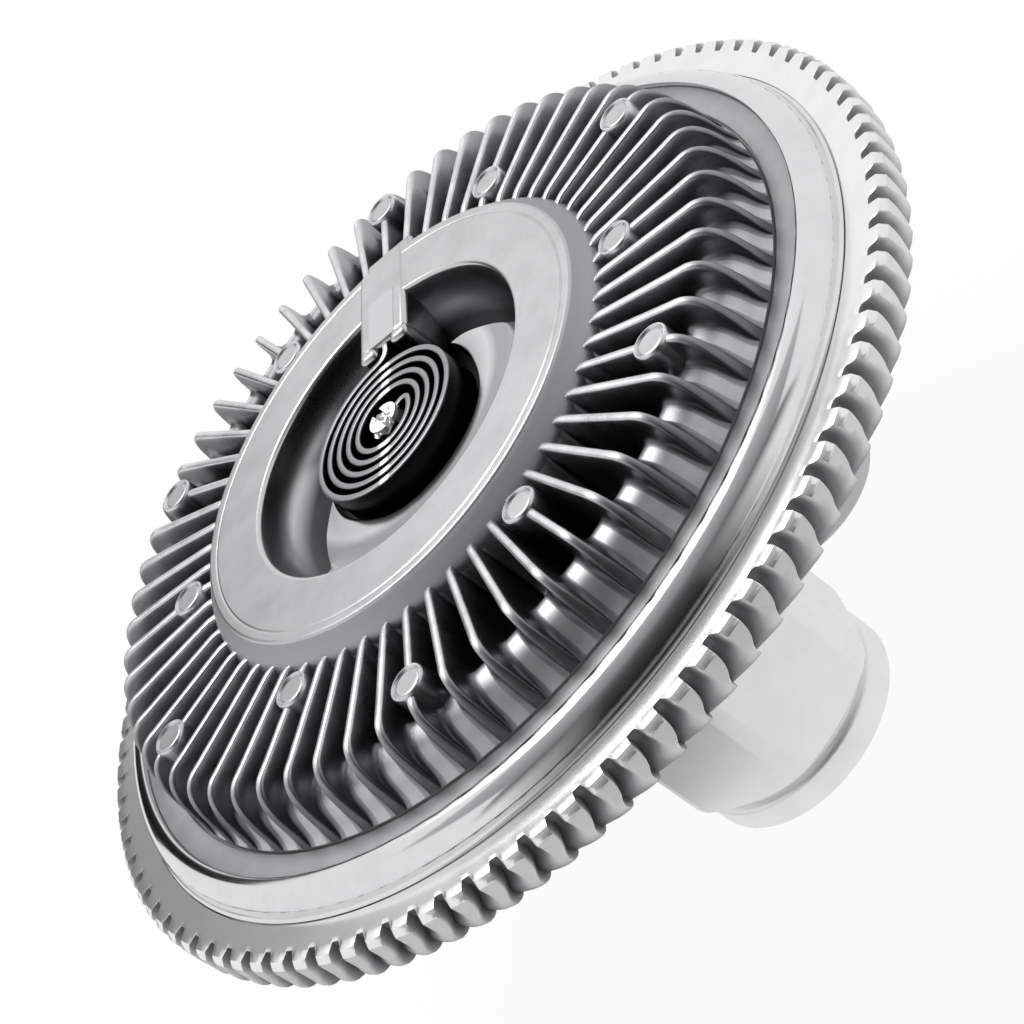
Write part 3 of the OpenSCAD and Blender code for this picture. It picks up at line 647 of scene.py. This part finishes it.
def coil_path():
    """Spiral r = R - pitch * turns, with a quarter bend out to the lug and a bend in to the shaft's axis."""
    e = unit(COIL_START)
    back = unit(COIL_START - math.pi / 2)
    bend = (COIL_R + TAIL_BEND) * e
    tail = (bend + TAIL_BEND * back)[None] + np.array([[9.0], [4.0]]) * e
    a = np.linspace(math.pi / 2, 0, 9)[:, None]
    corner = bend + TAIL_BEND * (back * np.sin(a) - e * np.cos(a))
    turn = np.linspace(0, 2 * np.pi * COIL_TURNS, 460)[1:, None]
    spiral = (COIL_R - COIL_PITCH * turn / (2 * np.pi)) * unit(COIL_START + turn[:, 0])
    inner = COIL_R - COIL_PITCH * COIL_TURNS
    last = COIL_START + 2 * np.pi * COIL_TURNS
    swing = math.asin(HOOK_BEND / (inner - HOOK_BEND))
    b = np.linspace(0, math.pi / 2 + swing, 10)[1:]
    hook = (inner - HOOK_BEND) * unit(last) + HOOK_BEND * unit(last + b)
    slit = -2.4 * unit(last + swing)
    return np.concatenate([tail, corner, spiral, hook, slit[None]])


def coil_strip():
    """Section point (s, z) goes to path + s * normal, at height z. The end rows shrink to a point and close
    the strip."""
    path = coil_path()
    ahead = np.gradient(path, axis=0)
    ahead /= np.linalg.norm(ahead, axis=1, keepdims=True)
    normal = np.stack([-ahead[:, 1], ahead[:, 0]], -1)
    s = STRIP_T / 2
    c = 0.18
    low = STRIP_LOW
    high = STRIP_HIGH
    section = np.array([(s, low + c), (s, high - c), (s - 0.05, high - 0.06), (s - c, high), (-s + c, high),
                        (-s + 0.05, high - 0.06), (-s, high - c), (-s, low + c), (-s + c, low), (s - c, low)])
    flat = path[:, None] + normal[:, None] * section[None, :, :1]
    body = np.concatenate([flat, np.broadcast_to(section[None, :, 1:], (len(path), len(section), 1))], 2)
    middle = (low + high) / 2
    ends = [np.broadcast_to(np.append(path[k], middle), (1, len(section), 3)) for k in (0, -1)]
    return np.concatenate([ends[0], body, ends[1]])


coil_points = coil_strip()
coil_quads = grid_quads(*coil_points.shape[:2])
coil = new_piece("bimetal_strip", coil_points, coil_quads, skin_strip, "housing", "bimetal")
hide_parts("bimetal_coil")

# %% [markdown]
# ## The staked end of the valve shaft
# The shaft's end is split around the coil and hammered over, which leaves a bright, lumpy cap. Sculpting it
# by hand couldn't be repeated, so a disc gets its lumps from a few sines and its slit from a bell curve.

# %% Staked cap
CAP_TOP = 120.33


def staked_cap(rings=16, columns=72):
    """Disc with an edge radius of 3.7 + 0.5 cos 2a + 0.25 sin 5a, a rolled edge, a slit and a few lumps."""
    f = np.linspace(0.02, 1, rings)[:, None]
    a = np.linspace(0, 2 * np.pi, columns, endpoint=False)[None, :]
    edge = 3.7 + 0.5 * np.cos(2 * (a - 0.7)) + 0.25 * np.sin(5 * a)
    r = f * edge
    x = r * np.cos(a)
    y = r * np.sin(a)
    slit = np.exp(-((x * math.sin(1.1) - y * math.cos(1.1)) / 0.5) ** 2)
    lumps = 0.22 * np.sin(2.3 * x + 1) * np.cos(2.0 * y) + 0.16 * np.cos(3.4 * x - 1.6 * y)
    z = 119.75 + lumps + 0.3 * np.sin(np.pi * f) ** 2 - 0.55 * slit - 0.5 * f ** 8
    top = np.stack([x, y, np.minimum(z, CAP_TOP)], -1)
    skirt = top[-1:] * np.array([0.97, 0.97, 0]) + np.array([0, 0, 118.6])
    return np.concatenate([top, skirt])


cap_points = staked_cap()
cap_quads = grid_quads(*cap_points.shape[:2])
new_piece("staked_cap", cap_points, cap_quads, skin_staked, "valve", "machined_steel", 50)

# %% [markdown]
# ## Flange and rolled lip
# The cover's flange is held by the rim's edge, which was rolled over it. The lip is a quarter round, so it
# shows the studio in bands: the light overhead, then the dark side of the room. Both are turned profiles, and
# the round has many points because a mirror shows every facet.

# %% Flange and lip
FLANGE_Z = 102.1
# Middle and half axes of the lip's round
LIP_MID = (89.7, 97.4)
LIP_HALF = (5.45, 5.75)
flange_profile = [(83.62, 102.4), (83.66, 101.4), (83.95, 101.4), (83.95, 101.9), (84.1, 102.06),
                  (84.4, FLANGE_Z), (88.9, FLANGE_Z), (89.3, 101.9), (89.4, 101.2)]
turned_piece("cover_flange", flange_profile, skin_flange, "housing", "cast_aluminium", 360, crease=60)
lip_turn = np.radians(np.linspace(90, 6, 26))
lip_round = np.array(LIP_MID) + np.array(LIP_HALF) * np.stack([np.cos(lip_turn), np.sin(lip_turn)], -1)
lip_edge = [(89.35, 101.2), (89.35, 102.7), (89.45, 103.05)]
lip_foot = [(95.2, 97.6), (95.42, 97.32), (95.75, 97.14), (95.78, 96.5), (95.98, 96.5), (95.98, 96.9),
            (96.08, 97.0)]
lip_profile = np.concatenate([lip_edge, lip_round, lip_foot])
turned_piece("rolled_lip", lip_profile, skin_lip, "housing", "cast_aluminium", 480, crease=50)

# %% [markdown]
# ## The toothed rim
# Ninety-five slots are cut into the rim. They widen towards the rear, so each tooth is a wedge, and the rear
# corner is well rounded. As with the fins, one closed grid follows two curves: the tooth's outline and the
# floor of the slot.

# %% Rim face
RIM_Z = 97.0
SLOT_COUNT = 95
ring_profile = [(96.08, RIM_Z), (97.0, RIM_Z), (98.5, RIM_Z), (100.2, RIM_Z)]
turned_piece("rim_face", ring_profile, skin_ring, "housing", "cast_aluminium", 5 * SLOT_COUNT)

# %% Teeth
# Where the slots' widths are measured, and the first slot's place as a share of one pitch
TOOTH_R = 103.4
SLOT_PHASE = 0.685
# Radius and height of the tooth's outline, then of the slot's floor, from the face to the rear
tooth_steer = [(100.2, 97.0, 100.2, 97.0), (101.35, 97.0, 101.35, 97.0), (103.65, 97.0, 101.4, 96.98),
               (103.85, 96.93, 101.42, 96.9), (104.9, 95.9, 101.42, 96.0), (105.0, 95.7, 101.42, 95.6),
               (105.0, 95.2, 101.2, 95.2), (105.0, 94.2, 100.8, 94.2), (105.0, 93.0, 100.8, 93.0),
               (105.0, 91.8, 101.0, 91.8), (105.0, 90.6, 101.3, 90.6), (104.8, 89.4, 101.5, 89.4),
               (104.3, 88.3, 101.5, 88.3), (103.5, 87.5, 101.2, 87.5), (102.4, 86.9, 100.8, 86.9),
               (101.2, 86.55, 100.3, 86.55), (99.8, 86.5, 99.6, 86.5), (98.2, 86.5, 98.2, 86.5)]


def toothed_rim():
    """Row s has tooth outline P(s) and slot floor Q(s). Across one pitch the columns start at the foot of a
    tooth's steep side, cross the slot, climb to the crest and drop again. At depth d behind the face the
    steep side lies 1.5 + 0.0074 d^2.97 from the slot's middle. The other side is a wall in front and turns
    into a long slope that bulges towards the rear. The last result deals out the two finishes."""
    path = np.asarray(tooth_steer, float)[:, None]
    back = RIM_Z - path[..., 1]
    pitch = 2 * np.pi / SLOT_COUNT * TOOTH_R
    far = 1.75 + 0.08 * back
    near = np.minimum(1.5 + 0.0074 * back ** 2.97, pitch - far - 0.7)
    t = np.array([[0, 0.06, 0.2, 0.35, 0.5, 0.62, 0.74, 0.85, 0.93, 1.0]])
    crest = pitch - near - far
    across = np.concatenate([-near + t * (near + far), far + 0.45 * crest, pitch - near - 0.18, pitch - near,
                             pitch - near + 0.01], 1) / TOOTH_R
    steep = np.clip((t - 0.5) / 0.5, 0, 1)
    steep = steep * steep * (3 - 2 * steep)
    mild = np.clip((back - 1.5) / 3.0, 0, 1)
    bulge = 0.8 + 0.7 * np.clip((back - 3.0) / 4.0, 0, 1)
    rise = (1 - mild) * steep + mild * (1 - (1 - t) ** bulge)
    flat = np.broadcast_to(np.array([[1.0, 1.0, 0.95, 0.45]]), (len(path), 4))
    lift = np.concatenate([rise, flat], 1)
    spot = path[..., 2:] + (path[..., :2] - path[..., 2:]) * lift[..., None]
    slot = (np.arange(SLOT_COUNT) + SLOT_PHASE) * 2 * np.pi / SLOT_COUNT
    angle = (slot[None, :, None] + across[:, None, :]).reshape(len(path), -1)
    radius = np.tile(spot[..., 0], (1, SLOT_COUNT))
    height = np.tile(spot[..., 1], (1, SLOT_COUNT))
    kind = np.ones((len(path) - 1, lift.shape[1]), int)
    kind[:2] = 0
    kind[2:5, 9:12] = 0
    return round_the_axis(radius, angle, height), grid_quads(*radius.shape), np.tile(kind, (1, SLOT_COUNT))


rim_points, rim_quads, rim_kind = toothed_rim()
rim = new_piece("toothed_rim", rim_points, rim_quads, [skin_ring, skin_rim], "housing", "cast_aluminium",
                40, rim_kind)
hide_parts("rear_housing")

# %% [markdown]
# ## The back of the housing
# The photograph hides the back, so it is kept plain: a conical wall, a bearing boss, low ribs and four pads
# that the fan is screwed to. Wall and boss are one lathe profile. One rib and one pad are worked out as grids
# and copied round the axis, which is lighter than joining solids.

# %% Rear wall and ribs
RIB_COUNT = 24
rear_profile = [(98.3, 86.5), (97.4, 86.3), (88.6, 80.2), (87.6, 79.65), (86, 79.5), (49, 79.5),
                (46.2, 79.1), (44.5, 77.7), (39.6, 72.7), (38.4, 70.9), (38.0, 68.5), (38.0, 53.8),
                (37.6, 53.2), (37, 53.0), (32.0, 53.0), (31.3, 53.2), (31.0, 53.6), (31.0, 54.5)]
turned_piece("rear_wall", rear_profile, skin_rear, "housing", "cast_aluminium", 240, crease=50)
rib_path = np.array([(38.0, 71.3), (39.0, 72.2), (42.0, 74.9), (45.4, 78.0), (46.6, 78.6), (69, 78.6),
                     (70.4, 78.8), (73.4, 80.2)])
rib_side = np.array([-2.0, -1.5, -1.2, 0.0, 1.2, 1.5, 2.0])
rib_drop = np.array([1.5, 0.4, 0.05, 0.0, 0.05, 0.4, 1.5])
rib_grid = np.stack(np.broadcast_arrays(rib_path[:, :1], rib_side, rib_path[:, 1:] + rib_drop), -1)
rib_turns = np.radians(7.5 + np.arange(RIB_COUNT) * 360 / RIB_COUNT)
rib_quads = grid_quads(*rib_grid.shape[:2], closed=False)[:, ::-1]
rib_faces = repeat_quads(rib_quads, rib_grid[..., 0].size, RIB_COUNT)
rib_points = copies_round(rib_grid, rib_turns)
new_piece("rear_ribs", rib_points, rib_faces, skin_rear, "housing", "cast_aluminium", 50)

# %% Fan pads
PAD_COUNT = 4
# Distance of each ring's middle from the axis, its radius and its height: the pad, then the screw hole
pad_rows = np.array([(78.5, 15.0, 87.0), (78.5, 15.0, 78.5), (78.5, 14.85, 78.15), (78.5, 14.5, 78.0),
                     (87.5, 3.8, 78.0), (87.5, 3.45, 78.25), (87.5, 3.4, 78.6), (87.5, 3.4, 90.6),
                     (87.5, 0.02, 91.0)])
pad_round = np.linspace(0, 2 * np.pi, 64, endpoint=False)
pad_middle, pad_radius, pad_height = np.split(pad_rows, 3, axis=1)
pad_grid = np.stack(np.broadcast_arrays(pad_middle + pad_radius * np.cos(pad_round),
                                        pad_radius * np.sin(pad_round), pad_height), -1)
pad_turns = np.radians(113.6 + np.arange(PAD_COUNT) * 360 / PAD_COUNT)
pad_faces = repeat_quads(grid_quads(*pad_grid.shape[:2]), pad_grid[..., 0].size, PAD_COUNT)
pad_points = copies_round(pad_grid, pad_turns)
new_piece("fan_pads", pad_points, pad_faces, skin_rear, "housing", "cast_aluminium", 50)

# %% [markdown]
# ## The drive hub
# The hub is one piece of steel: a shaft, a hexagon whose corners were turned down and a round collar. Its
# radius is the smallest of three limits - the hexagon, the turned corners and the end chamfers - so it is a
# single function of angle and height. A soft minimum rounds the edges a little.

# %% Hub
HEX_FLAT = 24.25
HEX_CORNER = 26.9
HEX_LOW = 9.0
HEX_HIGH = 46.0


def soft_min(a, b, k):
    """The smaller of a and b, blended over a width k: min(a, b) - h*h/(4k) with h = max(k - |a - b|, 0)."""
    h = np.maximum(k - np.abs(a - b), 0)
    return np.minimum(a, b) - h * h / (4 * k)


def hexagon_part(columns=600):
    """Radius = soft minimum of flat/cos(angle from the flat's middle), the turned corner and the two chamfer
    cones, of 30 degrees at the low end and 45 at the high end."""
    z = np.concatenate([[HEX_HIGH, 45.6], np.linspace(45.2, 12.4, 8), np.linspace(12, HEX_LOW, 16)])[:, None]
    a = np.linspace(0, 2 * np.pi, columns, endpoint=False)[None, :]
    off = (np.degrees(a) - 10) % 60 - 30
    r = soft_min(HEX_FLAT / np.cos(np.radians(off)), HEX_CORNER, 0.12)
    r = soft_min(r, 23.4 + (z - HEX_LOW) / math.tan(math.radians(30)), 0.35)
    r = soft_min(r, 25.9 + (HEX_HIGH - z), 0.2)
    return round_the_axis(r, a, z)


hex_points = hexagon_part()
hex_quads = grid_quads(*hex_points.shape[:2])
hub = new_piece("hub_hexagon", hex_points, hex_quads, skin_hub, "hub", "machined_steel", 30)
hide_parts("drive_hub")
collar_neck = [(23.5, 9.3), (23.4, 8.9), (23.4, 8.2), (24.2, 7.7), (24.7, 7.2), (24.8, 6.6)]
collar_bore = [(18.5, 0.0), (17.19, 1.25), (17.19, 36.0), (8.6, 40.0), (0.02, 40.0)]
collar_profile = np.concatenate([collar_neck, arc((22.9, 1.9), 1.9, 0, -90, 8), collar_bore])
turned_piece("hub_collar", collar_profile, skin_hub, "hub", "machined_steel", 240, crease=50)
shaft_profile = [(0.02, 93.5), (12.0, 93.5), (13.0, 92.5), (13.0, 80.0), (15.0, 80.0), (15.0, 56.0),
                 (19.0, 56.0), (19.0, HEX_HIGH), (25.9, HEX_HIGH)]
turned_piece("hub_shaft", shaft_profile, skin_hub, "hub", "machined_steel", 120)

# %% [markdown]
# ## Pieces that stay as CAD made them
# The inner pieces - rotor, bearing, seals, plate, valve arm - are hidden, and the insert in the lug is a
# plain block. They keep their solids and only get a finish.

# %% Finishes of the CAD nodes
cad_skins = {"cast_aluminium": skin_rear, "machined_steel": skin_hub, "bimetal": skin_strip,
             "sealant": skin_filler, "spring_steel": skin_spring, "bearing_steel": skin_bearing,
             "brass_cage": skin_brass, "rubber": skin_black}
slot_of = {p["node"]: p["material_slot"] for p in frame["record"]["subparts"]}
for name, solid in frame["nodes"].items():
    solid.data.materials.clear()
    solid.data.materials.append(cad_skins[slot_of[name]])
print("CAD finishes:", len(slot_of))

# %% [markdown]
# ## Floor and light
# The clutch stands on its hub on a white floor under one soft light, in a white room. White that came from
# more light would bleach the metal, so floor and room are simply white to the rays that look at them, and
# light the clutch at a plain level.

# %% Floor
def looked_at(tree):
    """1 for rays from the camera, and for those that metal mirrors or glass lets through, else 0."""
    rays = node(tree, "LightPath")
    straight = node(tree, "Math", {"operation": "MAXIMUM"},
                    links={0: (rays, "Is Camera Ray"), 1: (rays, "Is Glossy Ray")})
    return node(tree, "Math", {"operation": "MAXIMUM"},
                links={0: (straight, "Value"), 1: (rays, "Is Transmission Ray")})


def studio_floor():
    """White paper. To rays that look at it, 0.93 of it is its own white, and the rest keeps the shadows."""
    finish, tree = empty_material("white paper floor")
    share = node(tree, "Math", {"operation": "MULTIPLY"}, {1: 0.93},
                 {0: (looked_at(tree), "Value")})
    paper = node(tree, "BsdfDiffuse", values={"Color": linear("#f4f4f4")})
    glow = node(tree, "Emission", values={"Color": (1, 1, 1, 1), "Strength": 1.0})
    mix = node(tree, "MixShader",
               links={0: (share, "Value"), 1: (paper, "BSDF"), 2: (glow, "Emission")})
    node(tree, "OutputMaterial", links={"Surface": (mix, "Shader")})
    return finish


def card(name, corners, finish):
    """Flat card through four corner points in metres."""
    mesh = bpy.data.meshes.new(name)
    mesh.from_pydata(corners, [], [(0, 1, 2, 3)])
    mesh.materials.append(finish)
    made = bpy.data.objects.new(name, mesh)
    bpy.context.scene.collection.objects.link(made)
    return made


card("floor", [(-6, -6, 0), (6, -6, 0), (6, 6, 0), (-6, 6, 0)], studio_floor())

# %% World and lamp
scene = bpy.context.scene
scene.view_settings.view_transform = "Standard"
world = bpy.data.worlds.new("studio")
scene.world = world
world.use_nodes = True
air = world.node_tree
air.nodes.clear()
strength = node(air, "MapRange", values={"To Min": 0.6, "To Max": 1.0},
                links={"Value": (looked_at(air), "Value")})
sky = node(air, "Background", values={"Color": (1, 1, 1, 1)},
           links={"Strength": (strength, "Result")})
node(air, "OutputWorld", links={"Surface": (sky, "Background")})


def soft_lamp(name, place, aim, size, watts):
    """Square area lamp at place, turned to face aim."""
    data = bpy.data.lights.new(name, "AREA")
    data.energy = watts
    data.size = size
    lamp = bpy.data.objects.new(name, data)
    bpy.context.scene.collection.objects.link(lamp)
    back = np.asarray(place, float) - np.asarray(aim, float)
    lamp.location = place
    tilt = math.acos(back[2] / np.linalg.norm(back))
    lamp.rotation_euler = (tilt, 0, math.atan2(back[1], back[0]) + math.pi / 2)


soft_lamp("overhead", (0.0, -0.55, 1.25), (0, 0, 0.1), 0.65, 8.0)

# %% [markdown]
# ## Cards round the clutch
# Bare metal shows what stands around it, and in a white room it would be white all over. So a photographer
# puts up cards: a dark one behind the camera, a grey ceiling, a card on the far side that fades from white to
# black, and mats on the floor. Here they are seen only in the metal, and throw no light or shadow.

# %% Cards that only the metal sees
def glowing_card(name):
    """Empty emission material with its tree, split object coordinates and emission node."""
    finish, tree = empty_material(name)
    place = node(tree, "TexCoord")
    split = node(tree, "SeparateXYZ", links={"Vector": (place, "Object")})
    glow = node(tree, "Emission")
    node(tree, "OutputMaterial", links={"Surface": (glow, "Emission")})
    return finish, tree, split, glow


def fade(tree, split, axis, first, last):
    """Runs from 0 at first to 1 at last along one axis, in metres."""
    return node(tree, "MapRange", values={"From Min": first, "From Max": last},
                links={"Value": (split, axis)})


def graded_card(name, axis, first, last, stops):
    """Card whose grey follows one axis."""
    finish, tree, split, glow = glowing_card(name)
    shade = ramp(tree, fade(tree, split, axis, first, last), "Result", stops)
    link(tree, shade, "Color", glow, "Color")
    return finish


def backdrop():
    """Dark at its foot and lighter upwards. The lower part turns white towards both sides."""
    finish, tree, split, glow = glowing_card("graded backdrop")
    shade = ramp(tree, fade(tree, split, "Z", 0.0, 2.0), "Result",
                 [(0.0, "#262627"), (0.33, "#4c4c4d"), (0.56, "#6c6c6d"), (1.0, "#a0a0a1")])
    left = fade(tree, split, "X", -0.15, -0.85)
    right = fade(tree, split, "X", 0.4, 1.3)
    side = node(tree, "Math", {"operation": "MAXIMUM"},
                links={0: (left, "Result"), 1: (right, "Result")})
    low = fade(tree, split, "Z", 1.3, 0.5)
    part = node(tree, "Math", {"operation": "MULTIPLY"},
                links={0: (side, "Value"), 1: (low, "Result")})
    mix = node(tree, "Mix", {"data_type": "RGBA"}, {MIX_B: (1, 1, 1, 1)},
               {0: (part, "Value"), MIX_A: (shade, "Color")})
    link(tree, mix, MIX_OUT, glow, "Color")
    return finish


def upright(y, left, right, low, high):
    """Corners of an upright card that faces along Y."""
    return [(left, y, low), (right, y, low), (right, y, high), (left, y, high)]


def lying(z, left, right, near, far):
    """Corners of a level card, from one Y to another."""
    return [(left, near, z), (right, near, z), (right, far, z), (left, far, z)]


# Felt: matt and nearly black. Card and mats: even greys that fade along one axis
skin_felt = plain_finish("grey felt", "#2c2c2d", 0.0, 1.0)
far_skin = graded_card("far card", "X", -0.02, 0.24, [(0.0, "#ffffff"), (0.3, "#d4d4d5"), (0.5, "#9a9a9b"),
                                                     (0.7, "#3c3c3d"), (1.0, "#161617")])
roof_skin = graded_card("ceiling card", "Y", 0.95, -0.5, [(0.0, "#9a9a9b"), (1.0, "#c8c8c9")])
mat_skin = graded_card("grey mat", "X", 0.0, 0.6, [(0.0, "#b4b4b5"), (1.0, "#8c8c8d")])
cards = [card("backdrop", upright(0.95, -1.7, 1.7, -0.02, 2.0), backdrop()),
         card("ceiling", lying(2.0, -1.7, 1.7, 0.95, -0.5), roof_skin),
         card("far_side", upright(-0.55, -0.6, 0.34, 0.1, 0.5), far_skin),
         card("felt", lying(0.003, -0.3, 0.7, 0.19, 0.95), skin_felt),
         card("grey_mat", lying(0.002, 0.045, 0.6, -0.4, 0.15), mat_skin)]
for made in cards:
    made.visible_camera = False
    made.visible_shadow = False
    made.visible_diffuse = False
print("cards:", len(cards))

# %% [markdown]
# ## The camera
# Its place was fitted to the photograph's circles. The picture's right, down and forward axes are built from
# two angles that say how the clutch's axis leans in the picture, and from the turn of the fins about it.

# %% Camera
HEADING = math.radians(-143.683)
LEAN = math.radians(61.254)
SPIN = math.radians(1.684)
# The picture's width and the lens, both in pixels, and the sensor's width
PICTURE_PX = 1024
FOCAL_PX = 3344.4
SENSOR = 36.0
# The middle of the rim's face from the camera, right, down and ahead, for a rim of 100, scaled to 105
RIM_IN_VIEW = np.array([-7.906, -5.738, 616.92]) * 1.05
front = np.array([math.sin(LEAN) * math.cos(HEADING), math.sin(LEAN) * math.sin(HEADING), -math.cos(LEAN)])
u = np.cross(front, [0, 0, 1.0])
u /= np.linalg.norm(u)
v = np.cross(front, u)
x_axis = math.cos(SPIN) * u + math.sin(SPIN) * v
y_axis = -math.sin(SPIN) * u + math.cos(SPIN) * v
to_view = np.stack([x_axis, y_axis, front], 1)
eye = -to_view.T @ RIM_IN_VIEW + np.array([0, 0, RIM_Z])
pose = np.eye(4)
pose[:3, 0] = to_view[0]
pose[:3, 1] = -to_view[1]
pose[:3, 2] = -to_view[2]
pose[:3, 3] = eye * MM
data = bpy.data.cameras.new("camera")
data.sensor_width = SENSOR
data.lens = SENSOR * FOCAL_PX / PICTURE_PX
data.clip_start = 0.01
camera = bpy.data.objects.new("camera", data)
scene.collection.objects.link(camera)
camera.matrix_world = Matrix(pose.tolist())
scene.camera = camera
print("camera at", [round(c, 3) for c in (eye * MM).tolist()])
